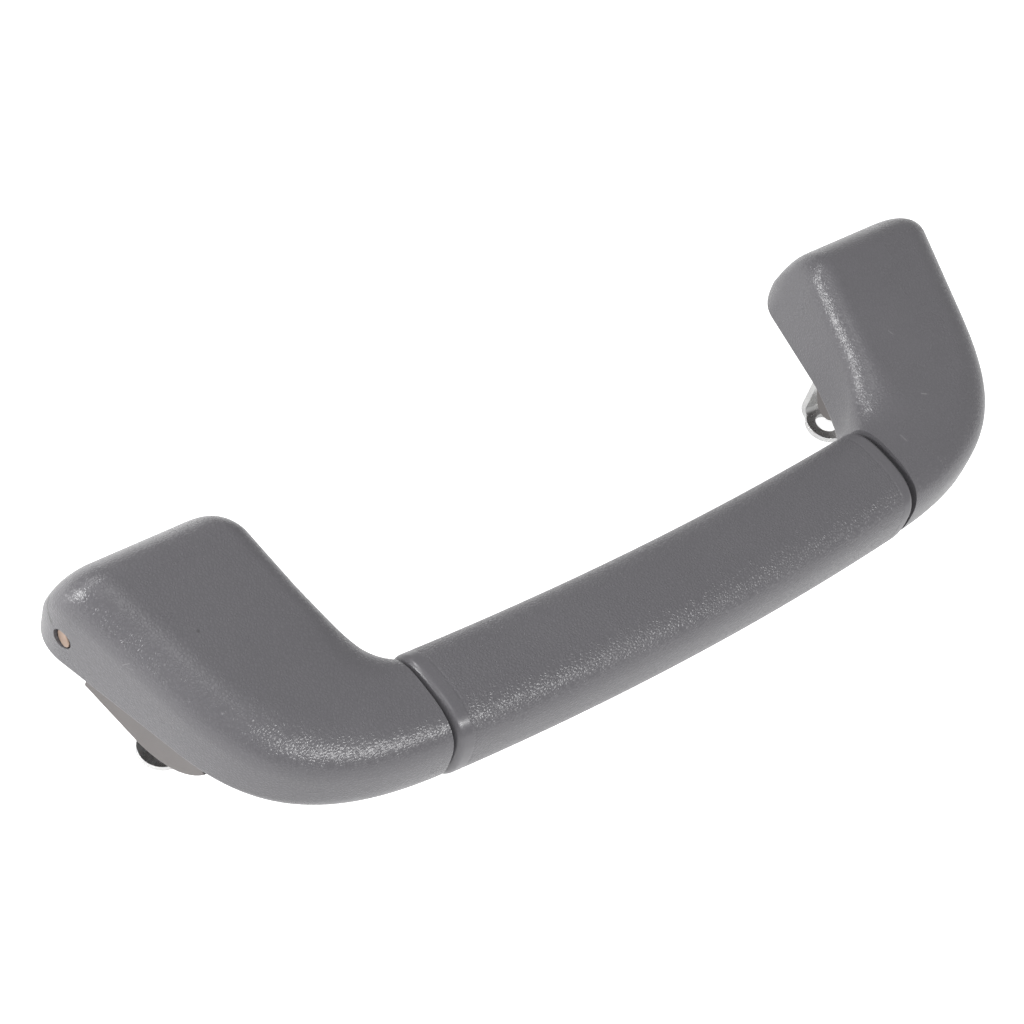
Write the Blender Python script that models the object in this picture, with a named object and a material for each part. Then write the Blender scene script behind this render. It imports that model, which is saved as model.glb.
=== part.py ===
"""Roof grab handle of a car: a moulded handle with a soft grip sleeve that swings on two sprung brackets.

Metres, +Z up. X runs along the handle, Y from the grip to the hinge line, and Z from the roof panel
towards the cabin. Z = 0 is the panel that both steel screw eyes are screwed to. The handle is folded
against the roof, and pulling the grip swings it away from the panel about the two hinge pins.
"""

import math

import bmesh
import bpy
import numpy as np
from mathutils import Vector

MM = 0.001
CLEARANCE = 0.3 * MM

# Outline of the handle, seen from the cabin
DEPTH = 74.4 * MM
HALF_LENGTH = 119.0 * MM
ARM_WIDTH = 39.7 * MM
OUTER_SPLAY = 0.304
INNER_SPLAY = 0.222
OUTER_SIDE_FOOT = 37.8 * MM
INNER_SIDE_FOOT = 44.3 * MM
OUTER_CORNER_REACH = (34.3 * MM, 17.8 * MM)
INNER_CORNER_REACH = (0.3 * MM, 19.5 * MM)
NOSE_LENGTH = 14.7 * MM
NOSE_OUTER_RADIUS = 13.7 * MM
NOSE_INNER_RADIUS = 7.9 * MM

# Heights above the roof panel, and depths measured down from the highest front
ARM_FRONT_HEIGHT = 57.0 * MM
ARM_DEPTH = 24.3 * MM
GRIP_SETBACK = 9.5 * MM
NOSE_DROP = 29.9 * MM
CHIN_RADIUS = 5.3 * MM
OUTER_EDGE = (9.4 * MM, 8.8 * MM)
INNER_EDGE = (6.2 * MM, 5.6 * MM)
RIM_EDGE_RADIUS = 1.0 * MM
WALL = 2.6 * MM

# Grip and sleeve
SEAM_INSET = 13.5 * MM
GRIP_WIDTH = 26.2 * MM
GRIP_END_WIDTH = 26.0 * MM
GRIP_THICKNESS = 23.7 * MM
GRIP_BOW = 2.6 * MM
SLEEVE_WALL = 3.0 * MM
SLEEVE_ROLL = 1.2 * MM
SEAM_STEP = 0.4 * MM
SEAM_GROOVE = 1.3 * MM

# Hinge
PIN_INSET = 13.0 * MM
PIN_RISE = 8.0 * MM
PIN_RADIUS = 2.0 * MM
PIN_SEAT_RADIUS = PIN_RADIUS + CLEARANCE
PIN_MOUTH_RADIUS = 2.5 * MM
PIN_MOUTH_DEPTH = 1.2 * MM
PIN_RECESS = 0.3 * MM
PIN_SEAT_SKIN = 1.4 * MM
BOSS_RADIUS = 4.6 * MM
BOSS_LENGTH = 2.6 * MM
BRACKET_INSET = 20.4 * MM
SHIELD_OFFSET = 8.0 * MM
LUG_OFFSET = 6.2 * MM
CHEEK_THICKNESS = 2.2 * MM
KNUCKLE_RADIUS = 6.2 * MM

# Bracket plastic
SHIELD_TOE = (-34.2 * MM, 4.1 * MM)
SHIELD_HEEL = (-13.5 * MM, 11.4 * MM)
SHIELD_FOOT = (6.9 * MM, 5.8 * MM)
SHIELD_ARC_RADIUS = 38.5 * MM
LUG_LENGTH = 31.0 * MM
LUG_LEAN = math.radians(25.2)
LUG_TIP_RADIUS = 3.6 * MM
BRIDGE_THICKNESS = 2.8 * MM
BRIDGE_DROP = 14.2 * MM
BRIDGE_HEIGHT = 9.3 * MM

# Steel strap and screw eye
STRAP_THICKNESS = 1.5 * MM
STRAP_WIDTH = 6.4 * MM
STRAP_WEB_Y = -6.1 * MM
STRAP_JOG_TOP = 6.0 * MM
STRAP_JOG_FOOT = 12.5 * MM
STRAP_BEND_RADIUS = 1.6 * MM
EYE_Y = -11.5 * MM
EYE_RADIUS = 5.3 * MM
EYE_HOLE_RADIUS = 2.9 * MM

# Torsion spring and its bush
WIRE_RADIUS = 0.7 * MM
BUSH_WALL = 0.8 * MM
SPRING_TURNS = 2.5
SPRING_PITCH = 1.5 * MM
SPRING_LEG = 12.5 * MM
PEG_REACH = 9.4 * MM
PEG_RADIUS = 1.2 * MM
LEDGE_WIDTH = 2.0 * MM
LEDGE_HEIGHT = 3.4 * MM

# Damper, spacer and stop
DAMPER_RADIUS = 6.4 * MM
DAMPER_ROTOR_RADIUS = 4.2 * MM
DAMPER_CAP = 1.2 * MM
STOP_Y = -22.0 * MM
STOP_DROP = 5.5 * MM
STOP_SHOULDER = 3.3 * MM
STOP_LENGTH = 6.0 * MM
STOP_WIDTH = 3.8 * MM
STOP_PAD_THICKNESS = 2.2 * MM

# Ribs and the hinge notch
RIB_THICKNESS = 1.6 * MM
RIB_RECESS = 4.0 * MM
RIB_SWING_GAP = 2.5 * MM
NOTCH_SIDE_GAP = 0.8 * MM
NOTCH_TOP = 6.0 * MM
CAVITY_START = 0.42

# Facets
CORNER_POINTS = 6
CORNER_STATIONS = 10
ARM_STATIONS = 3
NOSE_STATIONS = 8
CORE_STATIONS = 7
SLEEVE_STATIONS = 10
ROLL_STATIONS = 3
ROUND_SIDES = 28
WIRE_SIDES = 8
COIL_STEPS = 16


# Places that follow from the length and from the front
SEAM_X = HALF_LENGTH - ARM_WIDTH - SEAM_INSET
RIM_HEIGHT = ARM_FRONT_HEIGHT - ARM_DEPTH
GRIP_FRONT_HEIGHT = ARM_FRONT_HEIGHT - GRIP_SETBACK
GRIP_BACK_HEIGHT = GRIP_FRONT_HEIGHT - GRIP_THICKNESS
PIN_Z = RIM_HEIGHT + PIN_RISE


def quarter_drop(distance, reach, height):
    """How far a quarter ellipse has fallen at a distance from its end."""
    if distance >= reach:
        return 0.0
    share = 1 - distance / reach
    return height * (1 - math.sqrt(max(1 - share * share, 0.0)))


def nose_heights(distance):
    """Front and back of the nose at a distance from the end that its curves run to."""
    front = ARM_FRONT_HEIGHT - quarter_drop(distance, NOSE_LENGTH, NOSE_DROP)
    return front, RIM_HEIGHT + quarter_drop(distance, CHIN_RADIUS, CHIN_RADIUS)


def nose_cut():
    """The distance at which the falling front and the rising chin leave only a thin edge between them."""
    near, far = 0.0, CHIN_RADIUS
    for _ in range(40):
        middle = (near + far) / 2
        front, back = nose_heights(middle)
        near, far = (near, middle) if front - back > 2 * RIM_EDGE_RADIUS else (middle, far)
    return far


# Derived places
NOSE_TIP_Y = DEPTH / 2
NOSE_END_Y = NOSE_TIP_Y + nose_cut()
NOSE_START_Y = NOSE_END_Y - NOSE_LENGTH
PIN_Y = NOSE_END_Y - PIN_INSET
GRIP_EDGE_Y = -DEPTH / 2
BRACKET_X = HALF_LENGTH - BRACKET_INSET
CHEEK_INNER_X = BRACKET_X - LUG_OFFSET
CHEEK_OUTER_X = BRACKET_X + SHIELD_OFFSET
SHIELD_REACH = math.hypot(SHIELD_TOE[0], PIN_RISE + SHIELD_TOE[1])
BUSH_RADIUS = PIN_SEAT_RADIUS + BUSH_WALL
COIL_RADIUS = BUSH_RADIUS + CLEARANCE + WIRE_RADIUS
SIDES = {"left": -1, "right": 1}


def smoothstep(value):
    t = min(max(value, 0.0), 1.0)
    return t * t * (3 - 2 * t)


def mix(a, b, t):
    return a + (b - a) * t


def bezier(p0, p1, p2, p3, t):
    return (1 - t) ** 3 * p0 + 3 * (1 - t) ** 2 * t * p1 + 3 * (1 - t) * t * t * p2 + t ** 3 * p3


def outer_side_x(y):
    return HALF_LENGTH + OUTER_SPLAY * (y - NOSE_START_Y)


def inner_side_x(y):
    return HALF_LENGTH - ARM_WIDTH + INNER_SPLAY * (y - NOSE_START_Y)


def outer_boss_face():
    """The flat face that the outer boss turns to the bracket, just clear of the leaning wall."""
    return outer_side_x(PIN_Y - BOSS_RADIUS) - WALL - CLEARANCE / 2


def grip_edges(x):
    """Lower and upper Y of the bowed grip at a distance x from its middle."""
    k = (x / SEAM_X) ** 2
    width = mix(GRIP_WIDTH, GRIP_END_WIDTH, k)
    middle = GRIP_EDGE_Y + GRIP_WIDTH / 2 + GRIP_BOW * k
    return middle - width / 2, middle + width / 2


def front_height(y):
    grip_middle = GRIP_EDGE_Y + GRIP_WIDTH / 2
    share = (y - grip_middle) / (NOSE_START_Y - grip_middle)
    return mix(GRIP_FRONT_HEIGHT, ARM_FRONT_HEIGHT, min(max(share, 0.0), 1.0))


class Station:
    """One section of the skin: its two edges in plan, its heights, and 0 for grip or 1 for arm."""

    def __init__(self, outer, inner, front, back, block):
        self.outer = np.array(outer, float)
        self.inner = np.array(inner, float)
        self.front = front
        self.back = back
        self.block = block

    def loop(self, inset=0.0, points=CORNER_POINTS):
        """Points round the section, each edge moved in by the inset."""
        middle = (self.outer + self.inner) / 2
        half = np.linalg.norm(self.outer - self.inner) / 2
        along = (self.outer - self.inner) / (2 * half)
        half -= inset
        front, back = self.front - inset, self.back + inset * (1 - self.block)
        height = front - back
        rim = min(RIM_EDGE_RADIUS, height * 0.3)
        loop = []
        for k, (side, up, edge) in enumerate(((1, -1, None), (1, 1, OUTER_EDGE), (-1, 1, INNER_EDGE), (-1, -1, None))):
            edge_w = min(max(edge[0] - inset, MM), half * 0.98) if edge else rim
            edge_h = min(max(edge[1] - inset, MM), height * 0.6) if edge else rim
            width, rise = mix(half * 0.98, edge_w, self.block), mix(height * 0.49, edge_h, self.block)
            for step in range(points):
                turn = step / (points - 1) * math.pi / 2
                across, lift = (math.sin(turn), math.cos(turn)) if k % 2 == 0 else (math.cos(turn), math.sin(turn))
                s = side * (half - width + width * across)
                z = (front - rise + rise * lift) if up > 0 else (back + rise - rise * lift)
                x, y = middle + along * s
                loop.append(Vector((x, y, z)))
        return loop


def grip_station(x):
    low, high = grip_edges(x)
    return Station((x, low), (x, high), GRIP_FRONT_HEIGHT, GRIP_BACK_HEIGHT, 0.0)


def corner_station(t):
    """From the seam at t = 0, round the corner, to the start of the straight arm at t = 1."""
    start = SEAM_X + SEAM_GROOVE / 2
    low, high = grip_edges(start)
    low, high = low + SEAM_STEP, high - SEAM_STEP
    slope = 2 * GRIP_BOW * start / SEAM_X ** 2
    grip_way = np.array((1.0, slope)) / math.hypot(1.0, slope)
    edges = []
    for edge_y, foot, side_x, splay, reach in (
            (low, OUTER_SIDE_FOOT, outer_side_x, OUTER_SPLAY, OUTER_CORNER_REACH),
            (high, INNER_SIDE_FOOT, inner_side_x, INNER_SPLAY, INNER_CORNER_REACH)):
        end_y = GRIP_EDGE_Y + foot
        end = np.array((side_x(end_y), end_y))
        back_way = np.array((-splay, -1.0)) / math.hypot(splay, 1.0)
        begin = np.array((start, edge_y))
        edges.append(bezier(begin, begin + grip_way * reach[0], end + back_way * reach[1], end, t))
    step = SEAM_STEP * (1 - smoothstep(t))
    front = front_height((edges[0][1] + edges[1][1]) / 2) - step
    back = mix(GRIP_BACK_HEIGHT, RIM_HEIGHT, smoothstep(t)) + step
    return Station(edges[0], edges[1], front, back, smoothstep(t / 0.9))


def arm_station(t):
    outer_y = mix(GRIP_EDGE_Y + OUTER_SIDE_FOOT, NOSE_START_Y, t)
    inner_y = mix(GRIP_EDGE_Y + INNER_SIDE_FOOT, NOSE_START_Y, t)
    front = front_height((outer_y + inner_y) / 2)
    return Station((outer_side_x(outer_y), outer_y), (inner_side_x(inner_y), inner_y), front, RIM_HEIGHT, 1.0)


def nose_station(y, inset=0.0, back=None):
    """A section of the rounded nose; its end, reach and radii shrink with the inset."""
    left = NOSE_END_Y - inset - y
    outer_in = quarter_drop(left, NOSE_OUTER_RADIUS - inset, NOSE_OUTER_RADIUS - inset)
    inner_in = quarter_drop(left, NOSE_INNER_RADIUS - inset, NOSE_INNER_RADIUS - inset)
    if back is None:
        front, back = nose_heights(left)
    else:
        front = ARM_FRONT_HEIGHT - inset - quarter_drop(left, NOSE_LENGTH - inset, NOSE_DROP - 2 * inset)
    return Station((outer_side_x(y) - outer_in, y), (inner_side_x(y) + inner_in, y), front, back, 1.0)


def nose_steps(end, count):
    for k in range(1, count + 1):
        yield mix(NOSE_START_Y, end, math.sin(k / count * math.pi / 2))


def fill_loft(bm, rings):
    """Skin a row of rings into one closed body."""
    rows = [[bm.verts.new(p) for p in ring] for ring in rings]
    for a, b in zip(rows[:-1], rows[1:]):
        for k in range(len(a)):
            j = (k + 1) % len(a)
            bm.faces.new((a[k], a[j], b[j], b[k]))
    bm.faces.new(rows[0][::-1])
    bm.faces.new(rows[-1])
    bmesh.ops.recalc_face_normals(bm, faces=bm.faces)
    bmesh.ops.triangulate(bm, faces=[face for face in bm.faces if len(face.verts) == 4])


def mirrored(rings):
    return [[Vector((-p.x, p.y, p.z)) for p in ring] for ring in rings]


def circle(y, z, radius, count=ROUND_SIDES, start=0.0, sweep=2 * math.pi):
    """Points of a circle or arc in the YZ plane; an arc includes both ends."""
    last = count if sweep < 2 * math.pi else count - 1
    return [(y + radius * math.cos(start + sweep * k / count), z + radius * math.sin(start + sweep * k / count))
            for k in range(last + 1)]


def slab(outline, low, high, axis="x"):
    """A closed outline pushed along an axis: (y, z) points along X, (x, y) along Z, (x, z) along Y."""
    bm = bmesh.new()
    place = {"x": lambda a, b, h: (h, a, b), "y": lambda a, b, h: (a, h, b), "z": lambda a, b, h: (a, b, h)}[axis]
    lower = [bm.verts.new(place(a, b, low)) for a, b in outline]
    upper = [bm.verts.new(place(a, b, high)) for a, b in outline]
    count = len(outline)
    for k in range(count):
        j = (k + 1) % count
        bm.faces.new((lower[k], lower[j], upper[j], upper[k]))
    bm.faces.new(lower[::-1])
    bm.faces.new(upper)
    bmesh.ops.recalc_face_normals(bm, faces=bm.faces)
    return bm


def box(low, high):
    (x0, y0, z0), (x1, y1, z1) = low, high
    return slab([(y0, z0), (y1, z0), (y1, z1), (y0, z1)], x0, x1)


def ring_x(x0, x1, outer, inner, y=PIN_Y, z=PIN_Z, sides=ROUND_SIDES):
    """A turned sleeve along X."""
    bm = bmesh.new()
    rows = []
    for x, radius in ((x0, outer), (x1, outer), (x1, inner), (x0, inner)):
        rows.append([bm.verts.new((x, a, b)) for a, b in circle(y, z, radius, sides)])
    for a, b in zip(rows, rows[1:] + rows[:1]):
        for k in range(sides):
            j = (k + 1) % sides
            bm.faces.new((a[k], a[j], b[j], b[k]))
    bmesh.ops.recalc_face_normals(bm, faces=bm.faces)
    return bm


def material(name, color, roughness, metallic=0.0):
    made = bpy.data.materials.new(name)
    made.use_nodes = True
    shader = made.node_tree.nodes["Principled BSDF"]
    shader.inputs["Base Color"].default_value = (*color, 1.0)
    shader.inputs["Roughness"].default_value = roughness
    shader.inputs["Metallic"].default_value = metallic
    return made


def make(name, bm, mat, side=1, parent=None, smooth=35.0):
    """Turn a mesh drawn for the right-hand end into an object, mirrored for the left-hand end."""
    if side < 0:
        for vert in bm.verts:
            vert.co.x = -vert.co.x
        bmesh.ops.reverse_faces(bm, faces=bm.faces)
    if parent is not None:
        bmesh.ops.translate(bm, verts=bm.verts, vec=-parent.location)
    mesh = bpy.data.meshes.new(name)
    bm.to_mesh(mesh)
    bm.free()
    mesh.shade_smooth()
    mesh.set_sharp_from_angle(angle=math.radians(smooth))
    obj = bpy.data.objects.new(name, mesh)
    bpy.context.collection.objects.link(obj)
    if mat is not None:
        mesh.materials.append(mat)
    obj.parent = parent
    return obj


def helper(name, bm, side=1, parent=None):
    """A cutter or an addition, which is no piece of its own."""
    obj = make(name, bm, None, side, parent)
    obj.hide_render = True
    obj.display_type = "WIRE"
    return obj


def combine(target, other, operation):
    modifier = target.modifiers.new(other.name, "BOOLEAN")
    modifier.operation = operation
    modifier.object = other
    modifier.solver = "EXACT"


def hinge_empty(side_name, side):
    empty = bpy.data.objects.new("hinge_" + side_name, None)
    empty.location = (side * BRACKET_X, PIN_Y, PIN_Z)
    bpy.context.collection.objects.link(empty)
    return empty


def arm_rings():
    rings = [corner_station(k / CORNER_STATIONS).loop() for k in range(CORNER_STATIONS + 1)]
    rings += [arm_station(k / ARM_STATIONS).loop() for k in range(1, ARM_STATIONS + 1)]
    rings += [nose_station(y).loop() for y in nose_steps(NOSE_TIP_Y, NOSE_STATIONS)]
    return rings


def cavity_rings():
    """The hollow of an arm: the skin moved in by the wall, and left open below the rim."""
    below = RIM_HEIGHT - 2 * WALL
    stations = []
    for k in range(CORNER_STATIONS + 1):
        t = mix(CAVITY_START, 1.0, k / CORNER_STATIONS)
        stations.append(corner_station(t))
    stations += [arm_station(k / ARM_STATIONS) for k in range(1, ARM_STATIONS + 1)]
    for station in stations:
        station.back = below
        station.block = 1.0
    rings = [station.loop(WALL) for station in stations]
    for y in nose_steps(NOSE_END_Y - WALL, NOSE_STATIONS):
        station = nose_station(y, WALL, below)
        station.outer[0] -= WALL
        station.inner[0] += WALL
        rings.append(station.loop())
    return rings


def cavity(side_name, side):
    """What is cut from an arm, less the bosses, ribs, ledge and stop post that stay standing in it."""
    bm = bmesh.new()
    fill_loft(bm, cavity_rings())
    hollow = helper("hollow_" + side_name, bm, side)
    inner_wall = inner_side_x(PIN_Y) + WALL
    rib_y = PIN_Y - SHIELD_REACH - RIB_SWING_GAP
    rib_low = RIM_HEIGHT + RIB_RECESS
    top = ARM_FRONT_HEIGHT
    ledge_y = PIN_Y - SPRING_LEG + LEDGE_WIDTH / 2
    ledge_top = PIN_Z + COIL_RADIUS - WIRE_RADIUS - CLEARANCE
    post_low = PIN_Z - STOP_DROP + 2 * CLEARANCE + STOP_PAD_THICKNESS
    post_y = PIN_Y + STOP_Y
    standing = {
        "inner_boss": slab(circle(PIN_Y, PIN_Z, BOSS_RADIUS), inner_wall - WALL, inner_wall + BOSS_LENGTH),
        "outer_boss": slab(circle(PIN_Y, PIN_Z, BOSS_RADIUS), outer_boss_face(), outer_side_x(PIN_Y)),
        "cross_rib": box((SEAM_X, rib_y - RIB_THICKNESS, rib_low), (HALF_LENGTH, rib_y, top)),
        "inner_rib": box((CHEEK_INNER_X - RIB_THICKNESS, GRIP_EDGE_Y, rib_low), (CHEEK_INNER_X, rib_y - RIB_THICKNESS / 2, top)),
        "middle_rib": box((BRACKET_X - RIB_THICKNESS, GRIP_EDGE_Y, rib_low), (BRACKET_X, rib_y - RIB_THICKNESS / 2, top)),
        "spring_ledge": box((outer_side_x(ledge_y) - 2 * WALL, ledge_y - LEDGE_WIDTH, ledge_top - LEDGE_HEIGHT),
                            (HALF_LENGTH, ledge_y, ledge_top)),
        "stop_post": box((CHEEK_OUTER_X - STOP_WIDTH, post_y, post_low), (CHEEK_OUTER_X, post_y + STOP_LENGTH, top)),
    }
    for name, addition in standing.items():
        combine(hollow, helper(name + "_" + side_name, addition, side), "DIFFERENCE")
    return hollow


def handle_frame(mat):
    """The one-piece moulding: two hollow arms and the solid core that the sleeve sits on."""
    lip = SEAM_X + SEAM_GROOVE / 2
    right = []
    for k in range(CORE_STATIONS + 1):
        right.append(grip_station(lip * k / CORE_STATIONS).loop(SLEEVE_WALL))
    right += arm_rings()
    bm = bmesh.new()
    fill_loft(bm, mirrored(right[:0:-1]) + right)
    frame = make("handle_frame", bm, mat)
    bore = ring_bore()
    for side_name, side in SIDES.items():
        combine(frame, cavity(side_name, side), "DIFFERENCE")
        notch = box((CHEEK_INNER_X - NOTCH_SIDE_GAP, PIN_Y, RIM_HEIGHT - WALL),
                    (CHEEK_OUTER_X + NOTCH_SIDE_GAP, DEPTH, PIN_Z + NOTCH_TOP))
        combine(frame, helper("hinge_notch_" + side_name, notch, side), "DIFFERENCE")
        combine(frame, helper("pin_bore_" + side_name, bore.copy(), side), "DIFFERENCE")
    bore.free()
    return frame


def ring_bore():
    """The stepped blind bore of a hinge pin, drilled from the outer side."""
    start = inner_side_x(PIN_Y) + PIN_SEAT_SKIN
    step = outer_side_x(PIN_Y) - PIN_MOUTH_DEPTH
    end = HALF_LENGTH + NOSE_LENGTH
    bm = bmesh.new()
    rings = []
    for x, radius in ((start, PIN_SEAT_RADIUS), (step, PIN_SEAT_RADIUS), (step, PIN_MOUTH_RADIUS),
                      (end, PIN_MOUTH_RADIUS)):
        rings.append([Vector((x, y, z)) for y, z in circle(PIN_Y, PIN_Z, radius)])
    fill_loft(bm, rings)
    return bm


def sleeve_places():
    """Places along half the sleeve, and how far the skin has rolled in at each."""
    end = SEAM_X - SEAM_GROOVE / 2
    for k in range(SLEEVE_STATIONS):
        yield (end - SLEEVE_ROLL) * k / SLEEVE_STATIONS, 0.0
    for k in range(ROLL_STATIONS + 1):
        turn = k / ROLL_STATIONS * math.pi / 2
        yield end - SLEEVE_ROLL * (1 - math.sin(turn)), SLEEVE_ROLL * (1 - math.cos(turn))


def grip_sleeve(mat):
    """The soft tube between the two seams, rolled in at each end."""
    right = [grip_station(x).loop(roll) for x, roll in sleeve_places()]
    inside = [grip_station(x).loop(SLEEVE_WALL - CLEARANCE) for x, _ in sleeve_places()]
    rings = mirrored(right[:0:-1]) + right + (mirrored(inside[:0:-1]) + inside)[::-1]
    bm = bmesh.new()
    rows = [[bm.verts.new(p) for p in ring] for ring in rings]
    for a, b in zip(rows, rows[1:] + rows[:1]):
        for k in range(len(a)):
            j = (k + 1) % len(a)
            bm.faces.new((a[k], a[j], b[j], b[k]))
    bmesh.ops.recalc_face_normals(bm, faces=bm.faces)
    return make("grip_sleeve", bm, mat)


def hinge_pin(side_name, side, mat):
    start = inner_side_x(PIN_Y) + PIN_SEAT_SKIN + CLEARANCE
    end = outer_side_x(PIN_Y) - PIN_RECESS
    bm = slab(circle(PIN_Y, PIN_Z, PIN_RADIUS), start, end)
    return make("hinge_pin_" + side_name, bm, mat, side)


def arc_through(start, end, radius, count):
    """Points of an arc that bulges away from the pin between two ends."""
    start, end = np.array(start), np.array(end)
    middle, chord = (start + end) / 2, end - start
    half = np.linalg.norm(chord) / 2
    inward = np.array((-chord[1], chord[0])) / (2 * half)
    centre = middle + inward * math.sqrt(radius * radius - half * half)
    first = math.atan2(start[1] - centre[1], start[0] - centre[0])
    last = math.atan2(end[1] - centre[1], end[0] - centre[0])
    sweep = (last - first) % (2 * math.pi)
    return circle(centre[0], centre[1], radius, count, first, sweep)


def shield_outline():
    """The outer cheek: a knuckle, a bulging shield that sinks below the rim, and a sloping foot."""
    toe = (PIN_Y + SHIELD_TOE[0], RIM_HEIGHT - SHIELD_TOE[1])
    outline = arc_through(toe, (PIN_Y + SHIELD_HEEL[0], SHIELD_HEEL[1]), SHIELD_ARC_RADIUS, 12)
    outline.append((PIN_Y + SHIELD_FOOT[0], SHIELD_FOOT[1]))
    outline += circle(PIN_Y, PIN_Z, KNUCKLE_RADIUS, 16, -math.radians(50), math.radians(220))
    seat_y, seat_z = PIN_Y + STOP_Y - CLEARANCE, PIN_Z - STOP_DROP
    shoulder_y = seat_y + STOP_LENGTH + 3 * CLEARANCE
    outline.append((shoulder_y, seat_z + STOP_SHOULDER))
    outline.append((shoulder_y, seat_z))
    outline.append((seat_y, seat_z))
    return outline


def lug_outline():
    """The inner cheek: a finger that narrows from the knuckle to a round tip."""
    tip_y = PIN_Y - LUG_LENGTH * math.sin(LUG_LEAN)
    tip_z = PIN_Z - LUG_LENGTH * math.cos(LUG_LEAN)
    spread = math.asin((KNUCKLE_RADIUS - LUG_TIP_RADIUS) / LUG_LENGTH)
    down = -math.pi / 2 - LUG_LEAN
    outline = circle(tip_y, tip_z, LUG_TIP_RADIUS, 8, down - math.pi / 2 + spread, math.pi - 2 * spread)
    outline += circle(PIN_Y, PIN_Z, KNUCKLE_RADIUS, 16, down + math.pi / 2 - spread, math.pi + 2 * spread)
    return outline


def bracket_body(side_name, side, mat, hinge):
    """The moulded bracket: two cheeks on the pin, joined by a bridge behind the steel strap."""
    strap_back = PIN_Y + STRAP_WEB_Y + STRAP_THICKNESS
    strap_side = STRAP_WIDTH / 2 + CLEARANCE
    bridge_top = PIN_Z - BRIDGE_DROP
    body = make("bracket_body_" + side_name,
                slab(shield_outline(), CHEEK_OUTER_X - CHEEK_THICKNESS, CHEEK_OUTER_X), mat, side, hinge)
    knuckle = circle(PIN_Y, PIN_Z, KNUCKLE_RADIUS - CLEARANCE)
    peg_y = PIN_Y - PEG_REACH
    peg_z = PIN_Z - COIL_RADIUS + WIRE_RADIUS + CLEARANCE + PEG_RADIUS
    additions = {
        "lug": slab(lug_outline(), CHEEK_INNER_X, CHEEK_INNER_X + CHEEK_THICKNESS),
        "bridge": box((CHEEK_INNER_X + MM, strap_back + CLEARANCE, bridge_top - BRIDGE_HEIGHT),
                      (CHEEK_OUTER_X - MM, strap_back + CLEARANCE + BRIDGE_THICKNESS, bridge_top)),
        "outer_knuckle": slab(knuckle, BRACKET_X + strap_side, CHEEK_OUTER_X - MM),
        "inner_knuckle": slab(knuckle, CHEEK_INNER_X + MM, BRACKET_X - strap_side),
        "spring_peg": slab(circle(peg_y, peg_z, PEG_RADIUS, 12), CHEEK_OUTER_X - MM,
                           CHEEK_OUTER_X + 2 * CLEARANCE + 2 * WIRE_RADIUS + CLEARANCE),
    }
    for name, addition in additions.items():
        combine(body, helper(name + "_" + side_name, addition, side, hinge), "UNION")
    bore = slab(circle(PIN_Y, PIN_Z, PIN_SEAT_RADIUS), CHEEK_INNER_X - MM, CHEEK_OUTER_X + MM)
    combine(body, helper("bracket_bore_" + side_name, bore, side, hinge), "DIFFERENCE")
    return body


def ribbon(path, thickness):
    """The outline of a strip of sheet that follows a path in the YZ plane."""
    points = [np.array(p) for p in path]
    left, right = [], []
    for k, point in enumerate(points):
        ahead = points[min(k + 1, len(points) - 1)] - points[max(k - 1, 0)]
        ahead /= np.linalg.norm(ahead)
        normal = np.array((-ahead[1], ahead[0])) * thickness / 2
        left.append(tuple(point + normal))
        right.append(tuple(point - normal))
    return left + right[::-1]


def screw_strap(side_name, side, mat, hinge):
    """Sheet steel rolled round the pin, brought down the bracket and bent out into the screw eye."""
    roll = PIN_SEAT_RADIUS + STRAP_THICKNESS / 2
    web_y = PIN_Y + STRAP_WEB_Y + STRAP_THICKNESS / 2
    path = circle(PIN_Y, PIN_Z, roll, 18, -math.radians(65), math.radians(245))
    path += [(PIN_Y - roll, PIN_Z - STRAP_JOG_TOP), (web_y, PIN_Z - STRAP_JOG_FOOT)]
    bend = STRAP_BEND_RADIUS + STRAP_THICKNESS / 2
    path += circle(web_y - bend, STRAP_THICKNESS / 2 + bend, bend, 6, 0.0, -math.pi / 2)
    path.append((PIN_Y + EYE_Y + EYE_HOLE_RADIUS + STRAP_THICKNESS / 2, STRAP_THICKNESS / 2))
    half = STRAP_WIDTH / 2
    strap = make("screw_strap_" + side_name, slab(ribbon(path, STRAP_THICKNESS), BRACKET_X - half, BRACKET_X + half),
                 mat, side, hinge)
    eye = [(BRACKET_X + a, b) for a, b in circle(0.0, PIN_Y + EYE_Y, EYE_RADIUS, 40)]
    hole = [(BRACKET_X + a, b) for a, b in circle(0.0, PIN_Y + EYE_Y, EYE_HOLE_RADIUS)]
    combine(strap, helper("eye_" + side_name, slab(eye, 0.0, STRAP_THICKNESS, "z"), side, hinge), "UNION")
    combine(strap, helper("eye_hole_" + side_name, slab(hole, -MM, STRAP_THICKNESS + MM, "z"), side, hinge),
            "DIFFERENCE")
    return strap


def spring_bush(side_name, side, mat):
    bm = ring_x(CHEEK_OUTER_X + CLEARANCE, outer_boss_face() - CLEARANCE, BUSH_RADIUS, PIN_SEAT_RADIUS)
    return make("spring_bush_" + side_name, bm, mat, side)


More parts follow.
